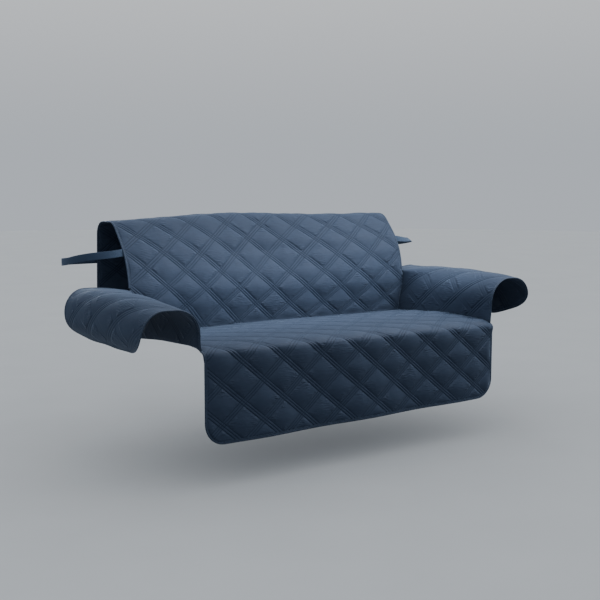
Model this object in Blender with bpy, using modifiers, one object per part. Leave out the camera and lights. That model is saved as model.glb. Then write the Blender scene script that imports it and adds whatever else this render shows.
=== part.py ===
"""A quilted slipcover for a two-seat sofa, in the shape in which it hangs on the sofa.

One long panel covers the front of the seat, the seat and the back, and falls over the back's top as a
short rear flap. A panel over each arm is sewn to it along the seat and the foot of the back. Bias binding
closes every free edge, and an elastic strap runs round the sofa's back from side to side.

Metres, +Z up, front towards -Y, left towards -X. The origin is in the middle, under the top of the back,
where the sofa carries the cover. The tables give sizes from the foot of the front hem: a depth towards the
back, and a height.
"""

import math
from collections import namedtuple

import bmesh
import bpy
import numpy as np

# Quilting: a lattice of diamonds between sewn lines, puffed in the middle.
DIAMOND_WIDTH = 0.170
DIAMOND_LENGTH = 0.140
STEP_ACROSS = DIAMOND_WIDTH / 4
STEP_ALONG = DIAMOND_LENGTH / 4
SEWN_THICKNESS = 0.0024
PUFFED_THICKNESS = 0.0095
PUFF_ROUNDNESS = 2.4
PUFF_STARTS = 0.024  # the puffs are pressed flat within this distance of an edge or of the crease

# Sewing and trim.
SEAM_GAP = 0.0003
SEAM_EASE = 0.0013  # room for the puffs, which begin at the seam
BINDING_GAP = 0.0008
BINDING_WIDTH = 0.009
BINDING_THICKNESS = 0.0036
STRAP_WIDTH = 0.028
STRAP_THICKNESS = 0.0014

# The long panel. Its half width is narrower where its edges are free and bound, wider where arms are sewn on.
FREE_HALF_WIDTH = 0.671
SEWN_HALF_WIDTH = 0.6855
HEM_CORNER_RADIUS = 0.070
ORIGIN_DEPTH = 0.783
ORIGIN_HEIGHT = 0.731

# Unevenness: how far the middle of the back lies behind its ends, the soft bump of its top, left of centre,
# the fall of the seat's front edge from left to right, and the waves of the hanging edges.
HOLLOW_DEPTH = 0.052
HOLLOW_REACH = 0.32
BUMP_HEIGHT = 0.022
BUMP_PLACE = -0.20
BUMP_REACH = 0.30
TILT_FALL = 0.017
WAVE_DEPTH = 0.005
WAVE_LENGTH = 0.47
WAVE_START = 1.0

# Where the quilting lies: how far its lattice begins before the front hem, and how far to the left of the
# middle. The cloth taken up in the crease shifts it on the back. More of it is pushed down on the right, so
# the quilting runs lower there.
FRONT_LATTICE_START = 0.0147
FRONT_LATTICE_OFFSET = 0.0180
BACK_LATTICE_START = 0.0528
TUCK_SLOPE = 0.049
TUCK_CURVE = 0.060

Fold = namedtuple("Fold", "name depth height radius half_width hollow bump tilt wave slide")
FOLDS = (
    Fold("front hem", 0.000, 0.000, 0.000, FREE_HALF_WIDTH, 0.0, 0.0, -0.3, 1.0, 0.0),
    Fold("top of the drop", 0.003, 0.270, 0.000, FREE_HALF_WIDTH, 0.0, 0.0, 0.8, 0.2, 0.0),
    Fold("seat edge", 0.004, 0.318, 0.040, 0.678, 0.0, 0.0, 1.0, 0.0, 0.0),
    Fold("front of the seat", 0.058, 0.319, 0.000, SEWN_HALF_WIDTH, 0.0, 0.0, 1.0, 0.0, 0.0),
    Fold("crown of the seat", 0.308, 0.315, 1.000, SEWN_HALF_WIDTH, 0.0, 0.3, 0.4, 0.0, 0.0),
    Fold("rear of the seat", 0.583, 0.290, 0.050, SEWN_HALF_WIDTH, 0.1, 0.4, 0.1, 0.0, 0.0),
    Fold("crease", 0.616, 0.272, 0.010, SEWN_HALF_WIDTH, 0.2, 0.3, 0.0, 0.0, 0.0),
    Fold("foot of the back", 0.600, 0.349, 0.000, SEWN_HALF_WIDTH, 0.3, 0.1, 0.0, 0.0, 1.0),
    Fold("swell of the back", 0.574, 0.451, 0.150, SEWN_HALF_WIDTH, 0.5, 0.0, 0.0, 0.0, 1.0),
    Fold("above the arms", 0.579, 0.480, 0.000, FREE_HALF_WIDTH, 0.6, 0.0, 0.0, 0.0, 1.0),
    Fold("middle of the back", 0.596, 0.590, 0.250, FREE_HALF_WIDTH, 1.0, 0.2, 0.0, 0.0, 1.0),
    Fold("top front", 0.714, 0.723, 0.060, FREE_HALF_WIDTH, 0.5, 1.0, 0.0, 0.0, 1.0),
    Fold("top rear", 0.856, 0.719, 0.050, FREE_HALF_WIDTH, 0.1, 1.0, 0.0, 0.0, 0.8),
    Fold("rear hem", 0.870, 0.381, 0.000, FREE_HALF_WIDTH, 0.0, 0.0, 0.0, 1.0, 0.0),
)
SHARP_TURNS = ("seat edge", "top front", "top rear")
SHARP_REACH = 0.040
CREASE_ROWS = (-0.024, -0.008, 0.008, 0.024)
HEM_ROWS = (0.006, 0.018)
COLUMNS_TO_EDGE = 16
FRONT_BINDING_END = 0.290
EDGE_SAMPLES = 200

# The arms. Each panel goes up the inner wall, over the rolled arm and a little way under its outer side.
ARM_FOOT_HEIGHT = 0.291
ARM_INNER_WALL = SEWN_HALF_WIDTH + SEAM_GAP + SEAM_EASE + SEWN_THICKNESS
ARM_OUTER_SIDE = 0.9045
ARM_TOP_HEIGHT = 0.477
ARM_FRONT = 0.025
ARM_SEAM_OVERLAP = 0.0015
ARM_SEAM_START = 0.022  # how far ahead of the seat's edge the seam begins
ARM_QUILT_DEPTH = 0.045
ARM_QUILT_GIRTH = -0.030
ARM_FIRST_COLUMN = -1
ARM_LAST_COLUMN = 15
ARM_LAST_ROW = 15
ARM_HEM_GIRTH = ARM_QUILT_GIRTH + ARM_LAST_ROW * STEP_ALONG
ARM_CORNER_GIRTH = ARM_HEM_GIRTH - 0.007

ArmCorner = namedtuple("ArmCorner", "name across height radius")
ARM_SECTION = (
    ArmCorner("foot", ARM_INNER_WALL, ARM_FOOT_HEIGHT, 0.000),
    ArmCorner("inner shoulder", ARM_INNER_WALL, ARM_TOP_HEIGHT, 0.100),
    ArmCorner("outer shoulder", ARM_OUTER_SIDE, ARM_TOP_HEIGHT, 0.088),
    ArmCorner("turn under the roll", ARM_OUTER_SIDE, 0.353, 0.080),
    ArmCorner("under the roll", 0.862, 0.3085, 0.000),
)
ArmEdge = namedtuple("ArmEdge", "name girth front rear")
ARM_EDGES = (
    ArmEdge("end of the seam", 0.190, ARM_FRONT, 0.585),
    ArmEdge("beside the back", 0.215, ARM_FRONT, 0.640),
    ArmEdge("inner shoulder", 0.245, ARM_FRONT, 0.674),
    ArmEdge("top", 0.280, ARM_FRONT, 0.682),
    ArmEdge("outer shoulder", 0.315, ARM_FRONT, 0.676),
    ArmEdge("upper side", 0.350, ARM_FRONT, 0.664),
    ArmEdge("side", 0.400, ARM_FRONT + 0.002, 0.654),
    ArmEdge("lower side", 0.425, ARM_FRONT + 0.017, 0.652),
    ArmEdge("under the roll", 0.450, ARM_FRONT + 0.052, 0.644),
    ArmEdge("corners", 0.475, ARM_FRONT + 0.100, 0.612),
    ArmEdge("rounded corners", ARM_CORNER_GIRTH, ARM_FRONT + 0.132, 0.575),
    ArmEdge("hem", ARM_HEM_GIRTH, ARM_FRONT + 0.155, 0.530),
)
ARM_SEAM_GIRTH = ARM_EDGES[0].girth
PULL_START = 0.40
PULL_END = 0.57
PULL_TOP_GIRTH = 0.250
PUCKER_DEPTH = 0.003
PUCKER_LENGTH = 0.19

# The strap's route on the left, from the panel's edge round the end of the sofa's back to its middle.
StrapPoint = namedtuple("StrapPoint", "across depth height lean")
STRAP_ROUTE = (
    StrapPoint(-0.710, 0.6200, 0.6095, 0.28),
    StrapPoint(-0.750, 0.6310, 0.606, 0.18),
    StrapPoint(-0.790, 0.6540, 0.603, 0.10),
    StrapPoint(-0.822, 0.6870, 0.596, 0.04),
    StrapPoint(-0.843, 0.7280, 0.586, 0.00),
    StrapPoint(-0.851, 0.7700, 0.576, 0.00),
    StrapPoint(-0.850, 0.8200, 0.570, 0.00),
    StrapPoint(-0.836, 0.8620, 0.568, 0.00),
    StrapPoint(-0.800, 0.8850, 0.567, 0.00),
    StrapPoint(-0.740, 0.8920, 0.566, 0.00),
    StrapPoint(-0.500, 0.8950, 0.564, 0.00),
    StrapPoint(-0.250, 0.8970, 0.562, 0.00),
    StrapPoint(0.000, 0.8975, 0.561, 0.00),
)
STRAP_SEWN_AT = 1.259
STRAP_SEWN_LEAN = 0.34
STRAP_STEPS = 2
STRAP_SMOOTHINGS = 2

ARC_STEPS = 16
END_REACH = 0.050
SMALL_STEP = 0.0005
MIN_SPACING = 0.014
MIN_ROW_SPACING = 0.009

# Finishes.
CLOTH_BLUE = (0.058, 0.115, 0.215)
CLOTH_ROUGHNESS = 0.55
TAPE_BLUE = (0.075, 0.120, 0.230)
TAPE_ROUGHNESS = 0.62
STRAP_BLUE = (0.050, 0.100, 0.185)
STRAP_ROUGHNESS = 0.70

for old in list(bpy.data.objects):
    bpy.data.objects.remove(old, do_unlink=True)
cover = bpy.data.collections.new("sofa_slipcover")
bpy.context.scene.collection.children.link(cover)


def rounded_path(places, radii):
    """A line through the places, rounded to the radii: its lengths, its points and the length at each place.

    It runs on straight past both ends by END_REACH, for the binding. Its lengths start at the first place.
    """
    places = np.array(places)
    first = places[0] - places[1]
    last = places[-1] - places[-2]
    points = [places[0] + first * END_REACH / np.linalg.norm(first), places[0]]
    middles = [1]
    for before, place, after, radius in zip(places, places[1:], places[2:], radii[1:]):
        incoming = (place - before) / np.linalg.norm(place - before)
        outgoing = (after - place) / np.linalg.norm(after - place)
        if radius == 0.0:
            points.append(place)
            middles.append(len(points) - 1)
            continue
        turn = math.acos(np.clip(incoming @ outgoing, -1.0, 1.0))
        inward = outgoing - incoming
        centre = place + inward / np.linalg.norm(inward) * radius / math.cos(turn / 2)
        start = place - incoming * radius * math.tan(turn / 2) - centre
        for step in range(ARC_STEPS + 1):
            angle = turn * step / ARC_STEPS
            points.append(centre + start * math.cos(angle) + incoming * radius * math.sin(angle))
        middles.append(len(points) - 1 - ARC_STEPS // 2)
    points += [places[-1], places[-1] + last * END_REACH / np.linalg.norm(last)]
    middles.append(len(points) - 2)
    points = np.array(points)
    steps = np.linalg.norm(np.diff(points, axis=0), axis=1)
    lengths = np.concatenate([[0.0], np.cumsum(steps)]) - END_REACH
    return lengths, points, lengths[middles]


PANEL_PATH, PANEL_POINTS, FOLD_PLACES = rounded_path(
    [(fold.depth, fold.height) for fold in FOLDS], [fold.radius for fold in FOLDS]
)
ARM_PATH, ARM_POINTS, _ = rounded_path(
    [(corner.across, corner.height) for corner in ARM_SECTION], [corner.radius for corner in ARM_SECTION]
)
FOLD_AT = {fold.name: float(place) for fold, place in zip(FOLDS, FOLD_PLACES)}
PANEL_LENGTH = FOLD_AT["rear hem"]


def fold_value(column, length):
    """A column of the table of folds, read at a length along the panel."""
    return float(np.interp(length, FOLD_PLACES, [getattr(fold, column) for fold in FOLDS]))


def in_frame(across, depth, height):
    """A place in the part's frame."""
    return np.array([across, depth - ORIGIN_DEPTH, height - ORIGIN_HEIGHT])


def panel_point(across, length):
    """The place of the long panel's inner face, at a distance from its middle and a length from its hem."""
    depth = float(np.interp(length, PANEL_PATH, PANEL_POINTS[:, 0]))
    height = float(np.interp(length, PANEL_PATH, PANEL_POINTS[:, 1]))
    hollow = math.exp(-((across / HOLLOW_REACH) ** 2))
    bump = math.exp(-(((across - BUMP_PLACE) / BUMP_REACH) ** 2))
    wave = math.sin(math.tau * across / WAVE_LENGTH + WAVE_START)
    depth += HOLLOW_DEPTH * hollow * fold_value("hollow", length)
    depth -= WAVE_DEPTH * wave * fold_value("wave", length)
    height += BUMP_HEIGHT * bump * fold_value("bump", length)
    height -= TILT_FALL * across * fold_value("tilt", length)
    return in_frame(across, depth, height)


def eased(place, start, end):
    """From 0 at start to 1 at end, gently at both."""
    share = min(max((place - start) / (end - start), 0.0), 1.0)
    return share * share * (3.0 - 2.0 * share)


def arm_point(side, depth, girth):
    """The place of an arm panel's inner face, at a depth and a girth from the foot of the inner wall.

    Beside the back it is pulled inwards, off the arm's shoulder, to the seam at the back panel's edge.
    """
    across = float(np.interp(girth, ARM_PATH, ARM_POINTS[:, 0]))
    height = float(np.interp(girth, ARM_PATH, ARM_POINTS[:, 1]))
    pull = eased(depth, PULL_START, PULL_END) * (1.0 - eased(girth, ARM_SEAM_GIRTH, PULL_TOP_GIRTH))
    across += (ARM_INNER_WALL - across) * pull
    pucker = math.sin(math.tau * (depth + side * girth) / PUCKER_LENGTH + side)
    height += PUCKER_DEPTH * pucker * eased(girth, ARM_SEAM_GIRTH, PULL_TOP_GIRTH)
    return in_frame(side * across, depth, height)


def puff(lattice_across, lattice_along):
    """How full the quilting is, from 0 on a sewn line to 1 in the middle of a diamond."""
    rising = lattice_across / DIAMOND_WIDTH + lattice_along / DIAMOND_LENGTH
    falling = lattice_across / DIAMOND_WIDTH - lattice_along / DIAMOND_LENGTH
    fullness = 1.0
    for place in (rising, falling):
        off_centre = abs(2.0 * (place - math.floor(place)) - 1.0)
        fullness *= 1.0 - off_centre**PUFF_ROUNDNESS
    return fullness


def thickness(lattice_across, lattice_along, room):
    """The cloth's thickness, where room is the distance to the nearest edge, seam or crease."""
    free = min(max(room / PUFF_STARTS, 0.0), 1.0)
    return SEWN_THICKNESS + (PUFFED_THICKNESS - SEWN_THICKNESS) * free * puff(lattice_across, lattice_along)


def spaced(places, low, high):
    """The places, with the first and last put at low and high, and the others kept apart between them."""
    last = len(places) - 1
    fitted = [min(max(place, low + MIN_SPACING * i), high - MIN_SPACING * (last - i))
              for i, place in enumerate(places)]
    return [low] + fitted[1:-1] + [high]


def finish(name, colour, roughness):
    """A plain cloth material."""
    material = bpy.data.materials.new(name)
    material.use_nodes = True
    shader = material.node_tree.nodes["Principled BSDF"]
    shader.inputs["Base Color"].default_value = (*colour, 1.0)
    shader.inputs["Roughness"].default_value = roughness
    shader.inputs["Metallic"].default_value = 0.0
    return material


def laid_sheet(name, places, thicknesses, material, outwards, quilting=None):
    """A sheet through rows of places, with its thickness at each place raised on its outer side.

    outwards is False where the rows and columns run so that the outer side would be the inner one. Where
    quilting gives the columns' and the rows' places in the lattice, the diagonals follow the sewn lines.
    """
    rows, columns = thicknesses.shape
    sheet = bmesh.new()
    bmesh.ops.create_grid(sheet, x_segments=columns - 1, y_segments=rows - 1, size=1.0)
    if quilting is not None:
        cells = ([], [])
        for face in sheet.faces:
            middle = face.calc_center_median()
            column = int((middle.x + 1.0) / 2.0 * (columns - 1))
            row = int((middle.y + 1.0) / 2.0 * (rows - 1))
            across = math.floor((quilting[0][column] + quilting[0][column + 1]) / 2.0 / STEP_ACROSS)
            along = math.floor((quilting[1][row] + quilting[1][row + 1]) / 2.0 / STEP_ALONG)
            cells[(across + along) % 2].append(face)
        bmesh.ops.triangulate(sheet, faces=cells[0], quad_method="FIXED")
        bmesh.ops.triangulate(sheet, faces=cells[1], quad_method="ALTERNATE")
    if not outwards:
        bmesh.ops.reverse_faces(sheet, faces=sheet.faces)
    mesh = bpy.data.meshes.new(name)
    sheet.to_mesh(mesh)
    sheet.free()
    made = bpy.data.objects.new(name, mesh)
    cover.objects.link(made)
    fullness = made.vertex_groups.new(name="thickness")
    thickest = float(thicknesses.max())
    for vertex in mesh.vertices:
        column = round((vertex.co.x + 1.0) / 2.0 * (columns - 1))
        row = round((vertex.co.y + 1.0) / 2.0 * (rows - 1))
        vertex.co = places[row][column]
        fullness.add([vertex.index], float(thicknesses[row, column]) / thickest, "REPLACE")
    mesh.shade_smooth()
    mesh.materials.append(material)
    solid = made.modifiers.new("thickness", "SOLIDIFY")
    solid.thickness = thickest
    solid.offset = 1.0
    solid.vertex_group = "thickness"
    solid.thickness_vertex_group = 0.0
    return made


def bound_edge(name, outline, point, outwards):
    """Binding along an outline of flat places, which runs with the cloth on its left."""
    outline = np.array(outline)
    steps = np.diff(outline, axis=0)
    steps /= np.linalg.norm(steps, axis=1)[:, None]
    before = np.vstack([steps[:1], steps])
    after = np.vstack([steps, steps[-1:]])
    along = before + after
    along /= np.linalg.norm(along, axis=1)[:, None]
    widening = 1.0 / np.sum(along * after, axis=1)
    out = np.column_stack([along[:, 1], -along[:, 0]]) * widening[:, None]
    places = []
    for flat, away in zip(outline, out):
        row = []
        for reach in (BINDING_GAP, BINDING_GAP + BINDING_WIDTH):
            first, second = flat + away * reach
            here = point(first, second)
            across = point(first + SMALL_STEP, second) - here
            onward = point(first, second + SMALL_STEP) - here
            normal = np.cross(across, onward)
            normal *= (1.0 if outwards else -1.0) / np.linalg.norm(normal)
            row.append(here + normal * (SEWN_THICKNESS - BINDING_THICKNESS) / 2.0)
        places.append(row)
    return laid_sheet(name, places, np.full((len(places), 2), BINDING_THICKNESS),
                      finish(name, TAPE_BLUE, TAPE_ROUGHNESS), outwards)


def tucked(across):
    """How much lower the back's quilting runs at a distance from the middle."""
    return TUCK_SLOPE * across - TUCK_CURVE * across**2


def half_width(length):
    """Half the long panel's width, with its hem's corners rounded."""
    to_hem = min(length, PANEL_LENGTH - length)
    cut = 0.0
    if to_hem < HEM_CORNER_RADIUS:
        above = HEM_CORNER_RADIUS - to_hem
        cut = HEM_CORNER_RADIUS - math.sqrt(max(HEM_CORNER_RADIUS**2 - above**2, 0.0))
    return fold_value("half_width", length) - cut


PanelRow = namedtuple("PanelRow", "length slide lattice offset")


def panel_rows():
    """The long panel's rows: the quilting's own, and more where the cloth turns sharply."""
    crease = FOLD_AT["crease"]
    lengths = [crease + step for step in CREASE_ROWS]
    lengths += [0.0, PANEL_LENGTH]
    lengths += list(HEM_ROWS) + [PANEL_LENGTH - step for step in HEM_ROWS]
    steps = [step * STEP_ALONG for step in range(1, math.ceil(PANEL_LENGTH / STEP_ALONG) + 2)]
    quilted = [step - FRONT_LATTICE_START for step in steps if step - FRONT_LATTICE_START < crease]
    quilted += [step - BACK_LATTICE_START for step in steps if crease < step - BACK_LATTICE_START < PANEL_LENGTH]
    for length in quilted:
        if all(abs(length - other) > MIN_ROW_SPACING for other in lengths):
            lengths.append(length)
        between = length - STEP_ALONG / 2.0
        if any(abs(between - FOLD_AT[turn]) < SHARP_REACH for turn in SHARP_TURNS):
            lengths.append(between)
    rows = []
    for length in sorted(lengths):
        start, offset = (FRONT_LATTICE_START, FRONT_LATTICE_OFFSET) if length < crease else (BACK_LATTICE_START, 0.0)
        rows.append(PanelRow(length, fold_value("slide", length), length + start, offset))
    return rows


def long_panel():
    """The panel over the front, the seat and the back, and the binding on its free edges."""
    rows = panel_rows()
    columns = [STEP_ACROSS * (i - COLUMNS_TO_EDGE) for i in range(2 * COLUMNS_TO_EDGE + 1)]
    flats = []
    places = []
    thicknesses = np.zeros((len(rows), len(columns)))
    for r, row in enumerate(rows):
        edges = [row.length - row.slide * tucked(side * FREE_HALF_WIDTH) for side in (-1, 1)]
        line = spaced([column - row.offset for column in columns], -half_width(edges[0]), half_width(edges[1]))
        flats.append([(across, row.length - row.slide * tucked(across)) for across in line])
        places.append([panel_point(*flat) for flat in flats[-1]])
        for c, (across, length) in enumerate(flats[-1]):
            room = min(half_width(length) - abs(across), length, PANEL_LENGTH - length,
                       abs(length - FOLD_AT["crease"]) - PUFF_STARTS / 2.0)
            thicknesses[r, c] = thickness(across + row.offset, row.lattice, room)
    laid_sheet("quilted_panel", places, thicknesses, finish("quilted_panel", CLOTH_BLUE, CLOTH_ROUGHNESS),
               True, (columns, [row.lattice for row in rows]))
    drop = [r for r, row in enumerate(rows) if row.length < FRONT_BINDING_END]
    upper = [r for r, row in enumerate(rows) if row.length > FOLD_AT["above the arms"]]
    front_edge = [flats[r][0] for r in reversed(drop)] + flats[0][1:-1] + [flats[r][-1] for r in drop]
    rear_edge = [flats[r][-1] for r in upper] + flats[-1][-2:0:-1] + [flats[r][0] for r in reversed(upper)]
    bound_edge("binding_front", front_edge, panel_point, True)
    bound_edge("binding_rear", rear_edge, panel_point, True)


def arm_panel(side, name):
    """The panel over one arm, and the binding on its free edges."""
    lengths = np.linspace(FOLD_AT["seat edge"] - ARM_SEAM_START, FOLD_AT["above the arms"], EDGE_SAMPLES)
    edge = np.array([panel_point(side * SEWN_HALF_WIDTH, length) for length in lengths])
    edge += np.array([0.0, ORIGIN_DEPTH, ORIGIN_HEIGHT])
    seat = edge[lengths < FOLD_AT["crease"]]
    back = edge[lengths > FOLD_AT["crease"]]
    edge_girths = [row.girth for row in ARM_EDGES]

    def foot_girth(depth):
        return float(np.interp(depth, seat[:, 1], seat[:, 2])) - ARM_FOOT_HEIGHT - ARM_SEAM_OVERLAP

    def rear_depth(girth):
        if girth <= ARM_SEAM_GIRTH:
            height = float(np.interp(girth, ARM_PATH, ARM_POINTS[:, 1]))
            return float(np.interp(height, back[:, 2], back[:, 1])) + ARM_SEAM_OVERLAP
        return float(np.interp(girth, edge_girths, [row.rear for row in ARM_EDGES]))

    columns = [ARM_QUILT_DEPTH + STEP_ACROSS * i for i in range(ARM_FIRST_COLUMN, ARM_LAST_COLUMN + 1)]
    lines = [ARM_QUILT_GIRTH + STEP_ALONG * i for i in range(ARM_LAST_ROW + 1)]
    lines = sorted(lines + [ARM_CORNER_GIRTH])
    flats = []
    for r, line in enumerate(lines):
        front = float(np.interp(line, edge_girths, [row.front for row in ARM_EDGES]))
        depths = spaced(columns, front, rear_depth(line))
        flats.append([(depth, spaced(lines, foot_girth(depth), ARM_HEM_GIRTH)[r]) for depth in depths])
    places = [[arm_point(side, *flat) for flat in row] for row in flats]
    thicknesses = np.zeros((len(lines), len(columns)))
    for r, row in enumerate(flats):
        for c, (depth, girth) in enumerate(row):
            room = min(depth - row[0][0], row[-1][0] - depth, girth - flats[0][c][1], ARM_HEM_GIRTH - girth)
            thicknesses[r, c] = thickness(depth - ARM_QUILT_DEPTH, girth - ARM_QUILT_GIRTH, room)
    quilting = ([column - ARM_QUILT_DEPTH for column in columns], [line - ARM_QUILT_GIRTH for line in lines])
    laid_sheet("arm_panel_" + name, places, thicknesses,
               finish("arm_panel_" + name, CLOTH_BLUE, CLOTH_ROUGHNESS), side < 0, quilting)
    behind = [row[-1] for row, line in zip(flats, lines) if line >= ARM_SEAM_GIRTH]
    hem = flats[-1][-2:0:-1]
    ahead = [row[0] for row in reversed(flats)]
    bound_edge("binding_arm_" + name, behind + hem + ahead,
               lambda depth, girth: arm_point(side, depth, girth), side < 0)


def back_strap():
    """The elastic strap, sewn to both edges of the back and carried round behind it."""
    start = FREE_HALF_WIDTH + BINDING_GAP + BINDING_WIDTH + SEAM_GAP
    sewn = panel_point(-start, STRAP_SEWN_AT) - in_frame(0.0, 0.0, 0.0)
    route = np.array([StrapPoint(*sewn, STRAP_SEWN_LEAN)] + list(STRAP_ROUTE))
    mirrored = route[-2::-1] * np.array([-1.0, 1.0, 1.0, 1.0])
    route = np.vstack([route, mirrored])
    count = STRAP_STEPS * (len(route) - 1) + 1
    marks = np.linspace(0, len(route) - 1, count)
    smooth = np.column_stack([np.interp(marks, range(len(route)), values) for values in route.T])
    for _ in range(STRAP_SMOOTHINGS):
        smooth[1:-1] = (smooth[:-2] + 2.0 * smooth[1:-1] + smooth[2:]) / 4.0
    low = []
    high = []
    for across, depth, height, lean in smooth:
        up = np.array([0.0, math.sin(lean), math.cos(lean)]) * STRAP_WIDTH / 2.0
        middle = in_frame(across, depth, height)
        low.append(middle - up)
        high.append(middle + up)
    laid_sheet("back_strap", [low, high], np.full((2, count), STRAP_THICKNESS),
               finish("back_strap", STRAP_BLUE, STRAP_ROUGHNESS), True)


long_panel()
arm_panel(-1, "left")
arm_panel(1, "right")
back_strap()
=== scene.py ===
"""A quilted slipcover for a two-seat sofa, in the shape in which it hangs on the sofa, which isn't shown.

Metres, +Z up, front towards -Y, left towards -X. The origin is in the middle, under the top of the back.
The tables give sizes from the foot of the front hem: a depth towards the back, and a height.
"""

import math
from collections import namedtuple

import bpy
import numpy as np
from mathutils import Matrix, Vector
from mathutils.geometry import delaunay_2d_cdt


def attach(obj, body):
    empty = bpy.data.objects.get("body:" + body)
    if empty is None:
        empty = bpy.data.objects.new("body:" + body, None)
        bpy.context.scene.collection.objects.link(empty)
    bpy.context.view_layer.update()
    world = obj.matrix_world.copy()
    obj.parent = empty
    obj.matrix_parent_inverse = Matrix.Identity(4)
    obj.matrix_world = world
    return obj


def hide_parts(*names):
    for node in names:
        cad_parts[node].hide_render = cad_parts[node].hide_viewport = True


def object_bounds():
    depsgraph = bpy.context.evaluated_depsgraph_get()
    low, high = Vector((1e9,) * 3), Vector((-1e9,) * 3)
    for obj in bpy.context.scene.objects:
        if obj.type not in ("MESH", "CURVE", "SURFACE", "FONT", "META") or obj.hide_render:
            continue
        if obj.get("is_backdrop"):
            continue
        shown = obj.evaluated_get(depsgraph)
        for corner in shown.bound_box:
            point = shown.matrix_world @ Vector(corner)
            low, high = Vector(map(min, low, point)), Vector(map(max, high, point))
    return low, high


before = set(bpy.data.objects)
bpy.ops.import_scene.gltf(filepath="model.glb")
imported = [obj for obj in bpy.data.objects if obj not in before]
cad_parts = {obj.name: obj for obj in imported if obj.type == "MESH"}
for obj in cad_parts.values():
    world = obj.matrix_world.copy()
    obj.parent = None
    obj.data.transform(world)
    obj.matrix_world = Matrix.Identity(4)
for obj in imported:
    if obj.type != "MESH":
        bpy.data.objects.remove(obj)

cad_box = [list(corner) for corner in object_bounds()]


# ---------------------------------------------------------------------------------------------------------
# The long panel. Two layers of brushed microfibre with wadding between them, quilted in diamonds, each line
# sewn in three rows. It is one piece, 1.37 m wide and 1.86 m long, laid over the front, seat and back, tucked
# in behind the seat, and left hanging a short way down behind the back.

DIAMOND_WIDTH = 0.170
DIAMOND_LENGTH = 0.140
LINE_SPACING = 1.0 / math.hypot(1.0 / DIAMOND_WIDTH, 1.0 / DIAMOND_LENGTH)
ROW_SPACING = 0.0095  # between the three rows of stitches of a line
SEWN_THICKNESS = 0.0024
RIDGE_THICKNESS = {"rising": 0.0018, "falling": 0.0010}  # how far the cloth swells between the rows
PUFF_ROUNDNESS = 2.1
PUFF_STARTS = 0.024  # the puffs grow to their full height over this distance from an edge or from the crease

FREE_HALF_WIDTH = 0.671
SEWN_HALF_WIDTH = 0.6855
HEM_CORNER_RADIUS = 0.070
ORIGIN = np.array([0.0, 0.783, 0.731])  # where the part's origin lies: across, depth and height
HOLLOW_DEPTH = 0.052  # how far the middle of the back is sunk in
HOLLOW_REACH = 0.32
BUMP_HEIGHT = 0.019  # how far the cloth stands up left of its middle
BUMP_PLACE = -0.14
BUMP_REACH = 0.36
TILT_FALL = 0.017  # how much the cloth falls to the right, for each metre across
WAVE_DEPTH = 0.005  # how far the free hems sway in and out
WAVE_LENGTH = 0.47
WAVE_START = 1.0
FRONT_LATTICE = (0.0180, 0.0147)  # where the quilting's lattice lies, across and along, ahead of the crease
BACK_LATTICE = (0.0, 0.0535)  # and on the back, shifted by the cloth that the crease takes up
PANEL_DRAWN = (1.0, 0.8)  # how hard the rising and the falling lines of stitches draw the cloth down, and how dark their painted groove shade is
TUCK_SLOPE = 0.049  # the crease takes up more cloth on the right, so the back's quilting runs lower there
TUCK_CURVE = 0.060

# Where the panel folds, from the front hem to the rear one: the place and the radius of each fold, half its
# width there, how much of the hollow, bump, tilt and wave it has, how much of its quilting slides down on the
# right, and how thick its diamonds are.
Fold = namedtuple("Fold", "name depth height radius half_width hollow bump tilt wave slide puffed")
FOLDS = (
    Fold("front hem", 0.000, 0.000, 0.000, FREE_HALF_WIDTH, 0.0, 0.0, -0.3, 1.0, 0.0, 0.0104),
    Fold("top of the drop", 0.003, 0.270, 0.000, FREE_HALF_WIDTH, 0.0, 0.0, 0.8, 0.2, 0.0, 0.0108),
    Fold("seat edge", 0.003, 0.300, 0.014, 0.676, 0.0, 0.0, 1.0, 0.0, 0.0, 0.0104),
    Fold("roll of the seat", 0.046, 0.3165, 0.060, 0.685, 0.0, 0.0, 1.0, 0.0, 0.0, 0.0085),
    Fold("front of the seat", 0.090, 0.319, 0.000, SEWN_HALF_WIDTH, 0.0, 0.0, 1.0, 0.0, 0.0, 0.0066),
    Fold("crown of the seat", 0.308, 0.315, 1.000, SEWN_HALF_WIDTH, 0.0, 0.3, 0.4, 0.0, 0.0, 0.0060),
    Fold("rear of the seat", 0.583, 0.290, 0.050, SEWN_HALF_WIDTH, 0.1, 0.4, 0.1, 0.0, 0.0, 0.0062),
    Fold("crease", 0.616, 0.272, 0.010, SEWN_HALF_WIDTH, 0.2, 0.3, 0.0, 0.0, 0.0, 0.0066),
    Fold("foot of the back", 0.600, 0.349, 0.000, SEWN_HALF_WIDTH, 0.3, 0.1, 0.0, 0.0, 1.0, 0.0104),
    Fold("swell of the back", 0.574, 0.451, 0.150, SEWN_HALF_WIDTH, 0.5, 0.0, 0.0, 0.0, 1.0, 0.0112),
    Fold("above the arms", 0.579, 0.480, 0.000, FREE_HALF_WIDTH, 0.6, 0.0, 0.0, 0.0, 1.0, 0.0112),
    Fold("middle of the back", 0.596, 0.590, 0.250, FREE_HALF_WIDTH, 1.0, 0.2, 0.0, 0.0, 1.0, 0.0110),
    Fold("top front", 0.714, 0.723, 0.060, FREE_HALF_WIDTH, 0.5, 1.0, 0.0, 0.0, 1.0, 0.0064),
    Fold("top rear", 0.856, 0.719, 0.050, FREE_HALF_WIDTH, 0.1, 1.0, 0.0, 0.0, 0.8, 0.0058),
    Fold("rear hem", 0.870, 0.381, 0.000, FREE_HALF_WIDTH, 0.0, 0.0, 0.0, 1.0, 0.0, 0.0088),
)
ARC_STEPS = 16
END_REACH = 0.050  # how far a path goes on past both its ends
SMALL_STEP = 0.0005
OUTLINE_STEP = 0.005
PATH_STEP = 0.0025
ROW_STEP = 0.001


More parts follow.
